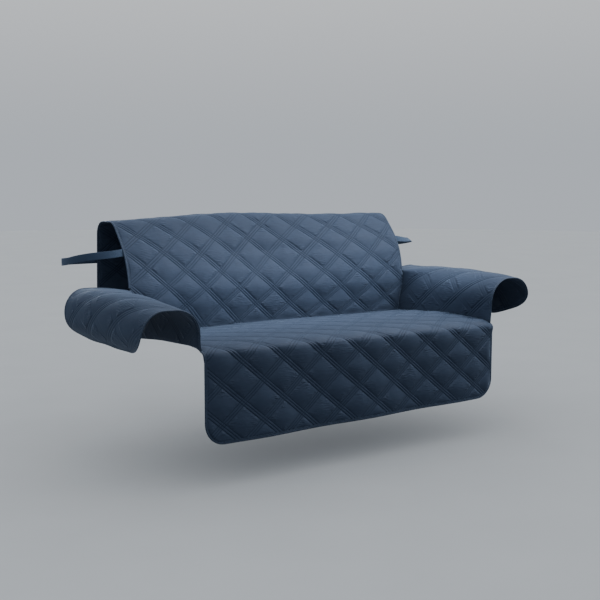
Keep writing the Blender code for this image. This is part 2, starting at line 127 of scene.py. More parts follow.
def lengths_along(points):
    """How far along a line each of its points lies."""
    return np.concatenate([[0.0], np.cumsum(np.linalg.norm(np.diff(points, axis=0), axis=1))])


def rounded_path(places, radii):
    """A line through places, rounded to the radii: its lengths, its points and the places' own lengths."""
    places = np.array(places)
    first = places[0] - places[1]
    last = places[-1] - places[-2]
    points = [places[0] + first * END_REACH / np.linalg.norm(first), places[0]]
    middles = [1]
    for before, place, after, radius in zip(places, places[1:], places[2:], radii[1:]):
        incoming = (place - before) / np.linalg.norm(place - before)
        outgoing = (after - place) / np.linalg.norm(after - place)
        if radius == 0.0:
            points.append(place)
            middles.append(len(points) - 1)
            continue
        turn = math.acos(np.clip(incoming @ outgoing, -1.0, 1.0))
        inward = outgoing - incoming
        centre = place + inward / np.linalg.norm(inward) * radius / math.cos(turn / 2)
        start = place - incoming * radius * math.tan(turn / 2) - centre
        for step in range(ARC_STEPS + 1):
            angle = turn * step / ARC_STEPS
            points.append(centre + start * math.cos(angle) + incoming * radius * math.sin(angle))
        middles.append(len(points) - 1 - ARC_STEPS // 2)
    points += [places[-1], places[-1] + last * END_REACH / np.linalg.norm(last)]
    middles.append(len(points) - 2)
    points = np.array(points)
    lengths = lengths_along(points) - END_REACH
    return lengths, points, lengths[middles]


PANEL_PATH, PANEL_POINTS, FOLD_PLACES = rounded_path(
    [(fold.depth, fold.height) for fold in FOLDS], [fold.radius for fold in FOLDS]
)
FOLD_AT = {fold.name: float(place) for fold, place in zip(FOLDS, FOLD_PLACES)}
PANEL_LENGTH = FOLD_AT["rear hem"]
CREASE = FOLD_AT["crease"]

# Cloth bends smoothly: the path is evened out over the reach given at each length. The crease stays sharp.
SOFTENED = (
    (0.0, 0.010),
    (FOLD_AT["seat edge"], 0.006),
    (CREASE - 0.020, 0.010),
    (CREASE, 0.0),
    (FOLD_AT["foot of the back"], 0.030),
    (FOLD_AT["swell of the back"], 0.060),
    (FOLD_AT["middle of the back"] + 0.040, 0.060),
    (FOLD_AT["top front"] - 0.040, 0.022),
    (FOLD_AT["top rear"], 0.020),
    (PANEL_LENGTH, 0.020),
)
SOFTENING = np.hanning(19)[1:-1] / 9.0  # the weights of the places within reach, which add up to 1
even_path = np.arange(-END_REACH, PANEL_LENGTH + END_REACH, PATH_STEP)
reaches = np.interp(even_path, *np.array(SOFTENED).T)
softened = np.zeros((len(even_path), 2))
for share, weight in zip(np.linspace(-1.0, 1.0, len(SOFTENING)), SOFTENING):
    marks = even_path + share * reaches
    softened += weight * np.column_stack([np.interp(marks, PANEL_PATH, axis) for axis in PANEL_POINTS.T])
PANEL_PATH, PANEL_POINTS = even_path, softened


def fold_value(column, length):
    """A column of the table of folds, read at lengths along the panel."""
    return np.interp(length, FOLD_PLACES, [getattr(fold, column) for fold in FOLDS])


def in_frame(across, depth, height):
    """Places in the part's frame."""
    return np.stack([across, depth, height], axis=-1) - ORIGIN


def eased(place, start, end):
    """From 0 at start to 1 at end, gently at both."""
    share = np.clip((place - start) / (end - start), 0.0, 1.0)
    return share * share * (3.0 - 2.0 * share)


def tucked(across):
    """How much lower the back's quilting runs at a distance from the middle."""
    return TUCK_SLOPE * across - TUCK_CURVE * across**2


def panel_place(flat):
    """The panel's inner face at flat places: a distance from the middle, and a row of the quilting.

    A row is a length from the front hem, but on the back it runs lower on the right.
    """
    across, row = flat.T
    length = row - fold_value("slide", row) * tucked(across)
    depth = np.interp(length, PANEL_PATH, PANEL_POINTS[:, 0])
    height = np.interp(length, PANEL_PATH, PANEL_POINTS[:, 1])
    hollow = np.exp(-((across / HOLLOW_REACH) ** 2))
    bump = np.exp(-(((across - BUMP_PLACE) / BUMP_REACH) ** 2))
    wave = np.sin(math.tau * across / WAVE_LENGTH + WAVE_START)
    depth = depth + HOLLOW_DEPTH * hollow * fold_value("hollow", length)
    depth -= WAVE_DEPTH * wave * fold_value("wave", length)
    height = height + BUMP_HEIGHT * bump * fold_value("bump", length)
    height -= TILT_FALL * across * fold_value("tilt", length)
    return in_frame(across, depth, height)


def quilted(laid, room, puffed, puff_starts):
    """The cloth's thickness at places of the lattice. Room is the distance to an edge, seam or crease."""
    across, along, *drawn = laid.T
    full = puffed - SEWN_THICKNESS
    swelling = full * np.clip(room / puff_starts, 0.0, 1.0)
    rising = across / DIAMOND_WIDTH + along / DIAMOND_LENGTH
    falling = across / DIAMOND_WIDTH - along / DIAMOND_LENGTH
    for place, ridge, pull in zip((rising, falling), RIDGE_THICKNESS.values(), drawn):
        from_line = np.abs(place - np.round(place)) * LINE_SPACING
        between_rows = np.abs(2.0 * from_line / ROW_SPACING - 1.0)
        in_band = ridge / full * (1.0 - between_rows**2)
        reach = (from_line - ROW_SPACING) / (LINE_SPACING / 2.0 - ROW_SPACING)
        beside = 1.0 - np.clip(1.0 - reach, 0.0, 1.0) ** PUFF_ROUNDNESS
        swelling = swelling * (1.0 - pull * (1.0 - np.where(from_line < ROW_SPACING, in_band, beside)))
    return SEWN_THICKNESS + swelling


def panel_row(across, length):
    """The row of the quilting that runs at this distance from the middle through places at these lengths."""
    rows = np.arange(-END_REACH, PANEL_LENGTH + END_REACH, ROW_STEP)
    return np.interp(length, rows - fold_value("slide", rows) * tucked(across), rows)


def panel_edge(side):
    """The panel's edge on one side, from the front hem to the rear one, its rounded corners included."""
    corner_steps = math.ceil(HEM_CORNER_RADIUS * math.pi / 2 / OUTLINE_STEP)
    turn = np.linspace(0.0, math.pi / 2, corner_steps + 1)
    to_hem = HEM_CORNER_RADIUS * (1.0 - np.cos(turn))
    cut = HEM_CORNER_RADIUS * (1.0 - np.sin(turn))
    straight_end = PANEL_LENGTH - HEM_CORNER_RADIUS
    straight = np.arange(HEM_CORNER_RADIUS + OUTLINE_STEP, straight_end, OUTLINE_STEP)
    lengths = np.concatenate([to_hem, straight, PANEL_LENGTH - to_hem[::-1]])
    cuts = np.concatenate([cut, np.zeros(len(straight)), cut[::-1]])
    across = side * (fold_value("half_width", lengths) - cuts)
    return np.column_stack([across, panel_row(side * FREE_HALF_WIDTH, lengths)])


def hem_line(start, end):
    """Places along a straight hem, without its ends."""
    count = math.ceil(abs(end[0] - start[0]) / OUTLINE_STEP) + 1
    return np.linspace(start, end, count)[1:-1]


def lattice_places(low, high, steps):
    """Places of the quilting between two corners, in rows at these distances on both sides of its lines."""
    beside = np.array(steps) / LINE_SPACING
    shares = np.concatenate([beside, [0.5], 1.0 - beside[:0:-1]])
    families = []
    for bottom, top in ((low[1], high[1]), (-high[1], -low[1])):
        first = math.floor(low[0] / DIAMOND_WIDTH + bottom / DIAMOND_LENGTH)
        last = math.ceil(high[0] / DIAMOND_WIDTH + top / DIAMOND_LENGTH)
        families.append(np.concatenate([line + shares for line in range(first, last)]))
    rising, falling = (grid.ravel() for grid in np.meshgrid(*families, indexing="ij"))
    across = DIAMOND_WIDTH * (rising + falling) / 2.0
    along = DIAMOND_LENGTH * (rising - falling) / 2.0
    inside = (across > low[0]) & (across < high[0]) & (along > low[1]) & (along < high[1])
    return np.column_stack([across[inside], along[inside]])


def square_places(low, high, step):
    """Places in a square grid between two corners."""
    across, along = np.meshgrid(np.arange(low[0], high[0], step), np.arange(low[1], high[1], step))
    return np.column_stack([across.ravel(), along.ravel()])


def normals(place, flat, outwards):
    """The directions out of the cloth at flat places, where place gives its inner face."""
    onward = place(flat + [SMALL_STEP, 0.0]) - place(flat - [SMALL_STEP, 0.0])
    upward = place(flat + [0.0, SMALL_STEP]) - place(flat - [0.0, SMALL_STEP])
    out = np.cross(onward, upward) * (1.0 if outwards else -1.0)
    return out / np.linalg.norm(out, axis=1)[:, None]


def shaped(name, vertices, faces, smooth, laid, finish):
    """An object from its mesh, with a UV map of where each vertex lay in the flat cloth, in metres.

    A second one may say how hard the rising and the falling lines of stitches draw it down there, which also
    sets how dark their painted groove shade is.
    """
    mesh = bpy.data.meshes.new(name)
    mesh.from_pydata(vertices.tolist(), [], faces)
    mesh.polygons.foreach_set("use_smooth", smooth)
    corners = np.zeros(len(mesh.loops), dtype=np.int32)
    mesh.loops.foreach_get("vertex_index", corners)
    for layer, values in zip(("laid", "drawn"), np.split(laid, laid.shape[1] // 2, axis=1)):
        mesh.uv_layers.new(name=layer).data.foreach_set("uv", values[corners].astype(np.float32).ravel())
    mesh.materials.append(finish.material)
    mesh.update()
    made = bpy.data.objects.new(name, mesh)
    bpy.context.scene.collection.objects.link(made)
    return made


ONLY_INSIDE = 1  # of the triangulation's ways, the one that keeps what lies inside the outline
SAME_PLACE = 1e-7


def sewn_sheet(name, outline, filling, lining, place, thickness, lattice, finish, outwards):
    """A closed sheet of cloth inside a flat outline, which runs with the cloth on its left.

    The filling and the lining are the outer and the inner face's other flat places.
    """
    rim = len(outline)
    loop = [(i, (i + 1) % rim) for i in range(rim)]
    sides = []
    for others in (filling, lining):
        flat = np.vstack([outline, others])
        points = [Vector(point) for point in flat.tolist()]
        triangles = delaunay_2d_cdt(points, loop, [], ONLY_INSIDE, SAME_PLACE)[2]
        sides.append((flat, np.array(triangles)))
    (outer, outer_triangles), (inner, inner_triangles) = sides
    raised = place(outer) + normals(place, outer, outwards) * thickness(outer)[:, None]
    vertices = np.vstack([raised, place(inner)])
    first = len(outer)
    onward = np.arange(rim)
    after = (onward + 1) % rim
    walls = np.column_stack([first + onward, first + after, after, onward])
    if not outwards:
        outer_triangles = outer_triangles[:, ::-1]
        inner_triangles = inner_triangles[:, ::-1]
        walls = walls[:, ::-1]
    faces = outer_triangles.tolist() + (inner_triangles[:, ::-1] + first).tolist() + walls.tolist()
    smooth = [True] * (len(faces) - rim) + [False] * rim  # the walls keep their edges
    return shaped(name, vertices, faces, smooth, lattice(np.vstack([outer, inner])), finish)


class Reading:
    """A value read at every point of a surface. Arithmetic on it adds the Math nodes that work it out."""

    def __init__(self, nodes, socket):
        self.nodes = nodes
        self.socket = socket

    def worked(self, operation, *values):
        return self.nodes.read("ShaderNodeMath", {"operation": operation}, dict(enumerate(values)))

    def __add__(self, other):
        return self.worked("ADD", self, other)

    def __sub__(self, other):
        return self.worked("SUBTRACT", self, other)

    def __rsub__(self, other):
        return self.worked("SUBTRACT", other, self)

    def __mul__(self, other):
        return self.worked("MULTIPLY", self, other)

    def __abs__(self):
        return self.worked("ABSOLUTE", self)

    def __round__(self, digits=None):
        return self.worked("ROUND", self)

    __radd__ = __add__
    __rmul__ = __mul__

    def least(self, other):
        return self.worked("MINIMUM", self, other)

    def most(self, other):
        return self.worked("MAXIMUM", self, other)

    def wave(self, length):
        """From -1 to 1 and back over each length."""
        return self.worked("SINE", self * (math.tau / length))

    def above(self, least, added):
        """From least where this is 0, up by all that is added where it is 1."""
        return self * added + least

    def between(self, start, end, first=0.0, last=1.0):
        """From first where this is at start to last at end, gently at both."""
        return self.nodes.read("ShaderNodeMapRange", {"interpolation_type": "SMOOTHSTEP"},
                               {"Value": self, "From Min": start, "From Max": end,
                                "To Min": first, "To Max": last})


class Nodes:
    """The nodes of a material or of a world."""

    def __init__(self, tree, shader):
        self.tree = tree
        self.shader = tree.nodes[shader]

    def node(self, kind, settings, inputs):
        """A node of a kind, with its settings, then the values or links of its sockets."""
        made = self.tree.nodes.new(kind)
        for setting, value in settings.items():
            setattr(made, setting, value)
        for socket, value in inputs.items():
            if isinstance(value, Reading):
                self.tree.links.new(value.socket, made.inputs[socket])
            else:
                made.inputs[socket].default_value = value
        return made

    def read(self, kind, settings, inputs, output=0):
        return Reading(self, self.node(kind, settings, inputs).outputs[output])

    def mapped(self, name="laid"):
        """A UV map, such as where each point of the cloth lay when it was flat, and its two numbers."""
        place = self.read("ShaderNodeUVMap", {"uv_map": name}, {})
        parts = self.node("ShaderNodeSeparateXYZ", {}, {0: place})
        return place, Reading(self, parts.outputs[0]), Reading(self, parts.outputs[1])

    def noise(self, place, scale, stretch=(1.0, 1.0, 1.0), detail=2.0, roughness=0.5):
        """Soft random patches, this many to a metre, and more of them along an axis that is stretched."""
        stretched = self.read("ShaderNodeMapping", {}, {"Vector": place, "Scale": stretch})
        return self.read("ShaderNodeTexNoise", {}, {"Vector": stretched, "Scale": scale, "Detail": detail,
                                                    "Roughness": roughness})

    def mixed(self, share, first, second):
        """From the first colour to the second, as the share goes from 0 to 1."""
        colours = {0: share, 6: first, 7: second}  # a Mix node's colours are its inputs 6 and 7 and output 2
        return self.read("ShaderNodeMix", {"data_type": "RGBA"}, colours, 2)

    def join(self, readings):
        """Ends the nodes: each reading goes to the shader's socket of its name."""
        for socket, value in readings.items():
            self.tree.links.new(value.socket, self.shader.inputs[socket])


class Finish(Nodes):
    """A material: a Principled BSDF with the fixed numbers given, and nodes that vary over the surface."""

    def __init__(self, name, **fixed):
        self.material = bpy.data.materials.new(name)
        self.material.use_nodes = True
        super().__init__(self.material.node_tree, "Principled BSDF")
        for socket, value in fixed.items():
            self.shader.inputs[socket.replace("_", " ")].default_value = value

    def show(self, colour, roughness, height):
        """Ends the material: its colour, its roughness, and its relief in metres."""
        relief = self.read("ShaderNodeBump", {}, {"Height": height, "Distance": 1.0, "Strength": 1.0})
        self.join({"Base Color": colour, "Roughness": roughness, "Normal": relief})


CLOTH_BLUE = (0.0260, 0.0375, 0.0625, 1.0)
CLOTH_DEEP_BLUE = (0.0205, 0.0300, 0.0515, 1.0)
# The rows of stitches are painted towards this blue: partly the thread's own colour, partly painted shade in
# the grooves they draw down
STITCH_AND_SHADE_BLUE = (0.005, 0.010, 0.021, 1.0)
CLOTH_SHEEN = (0.52, 0.70, 1.0, 1.0)
STITCH_ROW_REACH = 0.0026  # how far from a row of stitches the painted groove shade reaches
STITCH_SHADE = 0.85
STITCH_DEPTH = 0.0005
SLACK_PATCHES = 7.0  # to a metre: in these the falling lines are sewn less tightly, and their painted groove shade is lighter
SLACK_RANGE = (0.38, 0.58)
SLACK_SHARE = 0.75
CRINKLED_PATCHES = 9.0  # to a metre: in these the cloth is crinkled, most of all near the lines' crossings
CRINKLED_RANGE = (0.44, 0.60)
CRINKLES = (45.0, 190.0, 1.0)  # to a metre, across and along
CRINKLE_HEIGHT = 0.0066
CROSSING_REACH = (0.030, 0.085)
AWAY_FROM_CROSSINGS = 0.25  # how much of the crinkling there is there
FAINT_CRINKLES = 0.06  # and outside the patches
NAP_GRAIN = 620.0
NAP_HEIGHT = 0.00010
MOTTLE_GRAIN = 38.0
MOTTLE_STRETCH = (1.0, 2.5, 1.0)
MOTTLE_RANGE = (0.3, 0.7)
CLOTH_ROUGHNESS = (0.56, 0.16)  # the least of it, and how much the mottle may add


def quilted_cloth(name):
    """Brushed microfibre: a short nap with a soft sheen, and painted shade along the rows of stitches, in the
    grooves where they draw it down.
    """
    cloth = Finish(name, Sheen_Weight=0.12, Sheen_Roughness=0.40, Sheen_Tint=CLOTH_SHEEN,
                   Specular_IOR_Level=0.05)
    place, across, along = cloth.mapped()
    _, *drawn = cloth.mapped("drawn")
    rising = across * (1.0 / DIAMOND_WIDTH) + along * (1.0 / DIAMOND_LENGTH)
    falling = across * (1.0 / DIAMOND_WIDTH) - along * (1.0 / DIAMOND_LENGTH)
    rows, openness, distances = [], [], []
    for line, pull in zip((rising, falling), drawn):
        from_line = abs(line - round(line)) * LINE_SPACING
        from_row = from_line.least(abs(from_line - ROW_SPACING))
        # Painted shade: each row is darker in its groove, the more so the harder its line draws the cloth
        # down
        rows.append(from_row.between(0.0, STITCH_ROW_REACH, 1.0, 0.0) * pull)
        openness.append(from_line.between(ROW_SPACING, 2.0 * ROW_SPACING))
        distances.append(from_line)
    diamond = openness[0] * openness[1]
    slack = cloth.noise(place, SLACK_PATCHES, detail=1.0).between(*SLACK_RANGE, SLACK_SHARE, 1.0)
    sewn = rows[0].most(rows[1] * slack)
    crossing = (distances[0] + distances[1]).between(*CROSSING_REACH, 1.0, AWAY_FROM_CROSSINGS)
    crinkled = cloth.noise(place, CRINKLED_PATCHES).between(*CRINKLED_RANGE) * crossing
    crinkles = cloth.noise(place, 1.0, stretch=CRINKLES, detail=1.0)
    nap = cloth.noise(place, NAP_GRAIN, roughness=0.6)
    mottle = cloth.noise(place, MOTTLE_GRAIN, stretch=MOTTLE_STRETCH, detail=3.0)
    colour = cloth.mixed(mottle.between(*MOTTLE_RANGE) * 0.5 + nap * 0.5, CLOTH_DEEP_BLUE, CLOTH_BLUE)
    # Painted shade along the rows of stitches
    colour = cloth.mixed(sewn * STITCH_SHADE, colour, STITCH_AND_SHADE_BLUE)
    relief = crinkles * (diamond * (crinkled * CRINKLE_HEIGHT + FAINT_CRINKLES * CRINKLE_HEIGHT))
    relief = relief + nap * NAP_HEIGHT - sewn * STITCH_DEPTH
    cloth.show(colour, mottle.above(*CLOTH_ROUGHNESS), relief)
    return cloth


def panel_lattice(flat):
    """Where flat places of the panel lie in the quilting, and how hard its lines are drawn there."""
    drawn = np.broadcast_to(PANEL_DRAWN, flat.shape)
    return np.hstack([flat + np.where(flat[:, 1:] < CREASE, FRONT_LATTICE, BACK_LATTICE), drawn])


def panel_thickness(flat):
    """How thick the panel is at flat places."""
    across, row = flat.T
    length = row - fold_value("slide", row) * tucked(across)
    to_side = fold_value("half_width", length) - np.abs(across)
    to_crease = np.abs(row - CREASE) - PUFF_STARTS / 2.0
    room = np.minimum.reduce([to_side, length, PANEL_LENGTH - length, to_crease])
    return quilted(panel_lattice(flat), room, fold_value("puffed", length), PUFF_STARTS)


BATCH = 2000  # places that are looked at together, to spare memory


def clear_of(outline, places, margin):
    """The places inside a flat outline that are at least the margin from it."""
    after = np.roll(outline, -1, axis=0)
    kept = []
    for batch in np.array_split(places, max(1, len(places) // BATCH)):
        inside = np.zeros(len(batch), dtype=bool)
        for (x0, y0), (x1, y1) in zip(outline, after):
            crosses = (y0 > batch[:, 1]) != (y1 > batch[:, 1])
            if y1 != y0:
                inside ^= crosses & (batch[:, 0] < x0 + (batch[:, 1] - y0) * (x1 - x0) / (y1 - y0))
        nearest = np.linalg.norm(batch[:, None] - outline, axis=2).min(axis=1)
        kept.append(batch[inside & (nearest > margin)])
    return np.vstack(kept)


left_edge = panel_edge(-1)
right_edge = panel_edge(1)
panel_outline = np.vstack([
    left_edge[:1], hem_line(left_edge[0], right_edge[0]), right_edge,
    hem_line(right_edge[-1], left_edge[-1]), left_edge[:0:-1],
])
LINE_STEPS = (0.0, 0.0024, 0.00475, 0.0071, 0.0095, 0.0125, 0.0165, 0.0235, 0.033, 0.043)
CREASE_ROWS = (-0.010, -0.006, -0.002, 0.002, 0.006, 0.010)
CREASE_ROW_STEP = 0.010
CREASE_REACH = 0.012  # how far the quilting's places stay from the crease
LINING_CREASE_REACH = 0.020
LINING_STEP = 0.025
FILLING_MARGIN = 0.0024  # how far the places stay from the outline
LINING_MARGIN = 0.004
quilting = []
for shift, first, last in ((FRONT_LATTICE, 0.0, CREASE - CREASE_REACH),
                           (BACK_LATTICE, CREASE + CREASE_REACH, PANEL_LENGTH)):
    low = np.array((-SEWN_HALF_WIDTH, first)) + shift
    high = np.array((SEWN_HALF_WIDTH, last)) + shift
    quilting.append(lattice_places(low, high, LINE_STEPS) - shift)
crease_places = np.array([(across, CREASE + row) for row in CREASE_ROWS
                          for across in np.arange(-SEWN_HALF_WIDTH, SEWN_HALF_WIDTH, CREASE_ROW_STEP)])
filling = clear_of(panel_outline, np.vstack(quilting + [crease_places]), FILLING_MARGIN)
lining = square_places((-SEWN_HALF_WIDTH, 0.0), (SEWN_HALF_WIDTH, PANEL_LENGTH), LINING_STEP)
lining = lining[np.abs(lining[:, 1] - CREASE) > LINING_CREASE_REACH]
lining = clear_of(panel_outline, np.vstack([lining, crease_places]), LINING_MARGIN)
panel_cloth = quilted_cloth("quilted_microfibre")
panel = sewn_sheet("long_panel", panel_outline, filling, lining, panel_place, panel_thickness, panel_lattice,
                   panel_cloth, True)
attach(panel, "root")
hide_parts("quilted_panel")


# ---------------------------------------------------------------------------------------------------------
# The arm panels. The same quilted cloth, one piece over each arm, sewn to the long panel along the seat and
# the foot of the back. It lies up the inner wall, over the rolled top and a little way under the outer side.

SEAM_CLEARANCE = 0.0003
ARM_FOOT_HEIGHT = 0.291
ARM_INNER_WALL = SEWN_HALF_WIDTH + SEAM_CLEARANCE + SEWN_THICKNESS
ARM_OUTER_SIDE = 0.9045
ARM_TOP_HEIGHT = 0.477
ARM_FRONT = 0.025
ARM_SEAM_OVERLAP = 0.0015
ARM_SEAM_ALLOWANCE = 0.014  # at the top of the seam up the back, where more of the cloth is turned in
ARM_ALLOWANCE_GIRTHS = (0.150, 0.185)  # it widens from the one to the other
ARM_SEAM_START = 0.022  # how far the seam runs down past the seat's edge
ARM_SEAM_PLACES = 200
ARM_QUILT_PLACE = np.array([0.045, -0.030])  # where the arm's lattice starts, in depth and girth
ARM_PUFFED_THICKNESS = 0.0052
ARM_PUFF_STARTS = 0.055
ARM_DRAWN = {-1: (0.14, 0.70), 1: (0.75, 0.25)}  # on each side the lines that the cloth is pulled along show, in the relief and in the painted groove shade
ARM_HEM_GIRTH = ARM_QUILT_PLACE[1] + 15 * DIAMOND_LENGTH / 4
ARM_CORNER_GIRTH = ARM_HEM_GIRTH - 0.007
ARM_LINING_STEP = 0.018
EDGE_ROUNDINGS = 12
PULL_START = 0.40  # from here back the roll's inner side is drawn in to the wall, under the back's edge
PULL_END = 0.57
PULL_TOP_GIRTH = 0.250
PUCKER_DEPTH = 0.001
PUCKER_LENGTH = 0.19
ARM_FRONT_TUCK = 0.0050  # how far its front corner is drawn in to the seat's edge
ARM_TUCK_DEPTH = 0.080
ARM_TUCK_GIRTH = 0.070
ARM_CROWN = 0.011  # how much higher the arm's top stands halfway back
ARM_CROWN_DEPTH = 0.62
ARM_CROWN_STARTS = (0.10, 0.25)  # the girths over which it grows, up the inner wall
ARM_CROWN_ENDS = (0.35, ARM_HEM_GIRTH)  # and over which it fades, down the outer side
ARM_FRONT_DROP = {-1: 0.011, 1: 0.001}  # how much lower its top stands at the front

ArmCorner = namedtuple("ArmCorner", "name across height radius")
ARM_SECTION = (
    ArmCorner("foot", ARM_INNER_WALL, ARM_FOOT_HEIGHT, 0.000),
    ArmCorner("inner shoulder", ARM_INNER_WALL, ARM_TOP_HEIGHT, 0.100),
    ArmCorner("outer shoulder", ARM_OUTER_SIDE, ARM_TOP_HEIGHT, 0.088),
    ArmCorner("turn under the roll", ARM_OUTER_SIDE, 0.353, 0.080),
    ArmCorner("under the roll", 0.862, 0.3085, 0.000),
)
ArmEdge = namedtuple("ArmEdge", "name girth front rear")
ARM_EDGES = (
    ArmEdge("end of the seam", 0.190, ARM_FRONT, 0.594),
    ArmEdge("beside the back", 0.215, ARM_FRONT, 0.640),
    ArmEdge("inner shoulder", 0.245, ARM_FRONT, 0.674),
    ArmEdge("top", 0.280, ARM_FRONT, 0.682),
    ArmEdge("outer shoulder", 0.315, ARM_FRONT, 0.676),
    ArmEdge("upper side", 0.350, ARM_FRONT, 0.664),
    ArmEdge("side", 0.400, ARM_FRONT + 0.002, 0.654),
    ArmEdge("lower side", 0.425, ARM_FRONT + 0.017, 0.652),
    ArmEdge("under the roll", 0.450, ARM_FRONT + 0.052, 0.644),
    ArmEdge("corners", 0.475, ARM_FRONT + 0.100, 0.612),
    ArmEdge("rounded corners", ARM_CORNER_GIRTH, ARM_FRONT + 0.132, 0.575),
    ArmEdge("hem", ARM_HEM_GIRTH, ARM_FRONT + 0.155, 0.530),
)
ARM_SEAM_GIRTH = ARM_EDGES[0].girth
ARM_PATH, ARM_POINTS, _ = rounded_path(
    [(corner.across, corner.height) for corner in ARM_SECTION], [corner.radius for corner in ARM_SECTION]
)
ARM_LINE_STEPS = (0.0, 0.0024, 0.00475, 0.0071, 0.0095, 0.0125, 0.0165, 0.021, 0.027, 0.034, 0.041, 0.048)


def arm_place(side):
    """A function from an arm's flat places to its inner face.

    A flat place is a depth, and a girth: a length up from the foot of the inner wall and over the roll.
    """
    def place(flat):
        depth, girth = flat.T
        across = np.interp(girth, ARM_PATH, ARM_POINTS[:, 0])
        height = np.interp(girth, ARM_PATH, ARM_POINTS[:, 1])
        pull = eased(depth, PULL_START, PULL_END) * (1.0 - eased(girth, ARM_SEAM_GIRTH, PULL_TOP_GIRTH))
        across = across + (ARM_INNER_WALL - across) * pull
        tuck = (1.0 - eased(depth, ARM_FRONT, ARM_TUCK_DEPTH)) * (1.0 - eased(girth, 0.0, ARM_TUCK_GIRTH))
        across = across - ARM_FRONT_TUCK * tuck
        pucker = np.sin(math.tau * (depth + side * girth) / PUCKER_LENGTH + side)
        height = height + PUCKER_DEPTH * pucker * eased(girth, ARM_SEAM_GIRTH, PULL_TOP_GIRTH)
        crown = ARM_CROWN * np.sin(math.pi * np.clip(depth / ARM_CROWN_DEPTH, 0.0, 1.0))
        crown = crown - ARM_FRONT_DROP[side] * (1.0 - eased(depth, 0.0, ARM_CROWN_DEPTH / 2.0))
        height = height + crown * eased(girth, *ARM_CROWN_STARTS) * (1.0 - eased(girth, *ARM_CROWN_ENDS))
        return in_frame(side * across, depth, height)
    return place


def arm_lattice(side):
    """A function from an arm's flat places to where they lie in the quilting, and how hard that is drawn."""
    def lattice(flat):
        return np.hstack([flat - ARM_QUILT_PLACE, np.broadcast_to(ARM_DRAWN[side], flat.shape)])
    return lattice


def arm_thickness(side, outline):
    """A function from an arm's flat places to how thick it is there."""
    def thickness(flat):
        room = np.min([np.linalg.norm(flat - point, axis=1) for point in outline], axis=0)
        return quilted(arm_lattice(side)(flat), room, ARM_PUFFED_THICKNESS, ARM_PUFF_STARTS)
    return thickness


def relaxed(line, rounds):
    """The same line with its corners a little rounded and its ends kept."""
    for _ in range(rounds):
        line[1:-1] = (line[:-2] + 2.0 * line[1:-1] + line[2:]) / 4.0
    return line


def evenly(line, step):
    """The same line in steps of about one length."""
    lengths = lengths_along(line)
    marks = np.linspace(0.0, lengths[-1], math.ceil(lengths[-1] / step) + 1)
    return np.column_stack([np.interp(marks, lengths, line[:, axis]) for axis in range(2)])


def arm_outline(side):
    """The arm's whole outline and its free edge. The rest is sewn to the side of the seat and of the back."""
    start = FOLD_AT["seat edge"] - ARM_SEAM_START
    lengths = np.linspace(start, FOLD_AT["above the arms"], ARM_SEAM_PLACES)
    rows = panel_row(side * SEWN_HALF_WIDTH, lengths)
    edge = panel_place(np.column_stack([np.full(len(rows), side * SEWN_HALF_WIDTH), rows])) + ORIGIN
    seat = edge[lengths < CREASE]
    back = edge[lengths > CREASE]
    foot_depths = np.arange(ARM_FRONT, back[0, 1], OUTLINE_STEP)
    foot_heights = np.interp(foot_depths, seat[:, 1], seat[:, 2])
    foot = np.column_stack([foot_depths, foot_heights - ARM_FOOT_HEIGHT - ARM_SEAM_OVERLAP])
    seam_girths = np.arange(foot[-1, 1], ARM_SEAM_GIRTH, OUTLINE_STEP)
    seam_heights = np.interp(seam_girths, ARM_PATH, ARM_POINTS[:, 1])
    overlap = np.interp(seam_girths, ARM_ALLOWANCE_GIRTHS, (ARM_SEAM_OVERLAP, ARM_SEAM_ALLOWANCE))
    seam = np.column_stack([np.interp(seam_heights, back[:, 2], back[:, 1]) + overlap, seam_girths])
    rear = [(row.rear, row.girth) for row in ARM_EDGES]
    front = [(row.front, row.girth) for row in reversed(ARM_EDGES)]
    free = relaxed(evenly(np.array(rear + front + [foot[0]]), OUTLINE_STEP), EDGE_ROUNDINGS)
    return np.vstack([foot, seam[1:], free[:-1]]), free


arm_free_edges = {}
for side, name in ((-1, "left"), (1, "right")):
    outline, arm_free_edges[side] = arm_outline(side)
    low, high = outline.min(axis=0), outline.max(axis=0)
    places = lattice_places(low - ARM_QUILT_PLACE, high - ARM_QUILT_PLACE, ARM_LINE_STEPS)
    arm_filling = clear_of(outline, places + ARM_QUILT_PLACE, FILLING_MARGIN)
    arm_lining = clear_of(outline, square_places(low, high, ARM_LINING_STEP), LINING_MARGIN)
    arm = sewn_sheet("arm_cover_" + name, outline, arm_filling, arm_lining, arm_place(side),
                     arm_thickness(side, outline), arm_lattice(side), panel_cloth, side < 0)
    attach(arm, "root")
    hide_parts("arm_panel_" + name)


# ---------------------------------------------------------------------------------------------------------
# The binding. Bias-cut tape of the same cloth, folded round every free edge and sewn through near its inner
# side, on the hems, on both sides of the back and round the arm panels.

TAPE_SECTION = (  # how far out past the cloth's edge, and how far above its inner face
    (-0.0018, 0.0029), (-0.0008, 0.0033), (0.0006, 0.0031), (0.0018, 0.0026), (0.0030, 0.0033),
    (0.0054, 0.0036), (0.0076, 0.0032), (0.0092, 0.0023), (0.0098, 0.0012), (0.0092, 0.0001),
    (0.0076, -0.0008), (0.0054, -0.0012), (0.0030, -0.0009), (0.0018, -0.0002), (0.0006, -0.0007),
    (-0.0008, -0.0009), (-0.0018, -0.0005),
)
TAPE_BLUE = (0.024, 0.036, 0.062, 1.0)
TAPE_DEEP_BLUE = (0.017, 0.027, 0.047, 1.0)
TAPE_RIB_SPACING = 0.0012
TAPE_RIB_HEIGHT = 0.00004
TAPE_PUCKERS = 160.0  # to a metre along the tape, and fewer round it
TAPE_PUCKER_STRETCH = (1.0, 0.4, 1.0)
TAPE_PUCKER_HEIGHT = 0.0006
TAPE_PUCKER_RANGE = (0.3, 0.7)
TAPE_ROUGHNESS = (0.55, 0.15)
STITCH_LENGTH = 0.0032
STITCH_RANGE = (-0.2, 0.5)
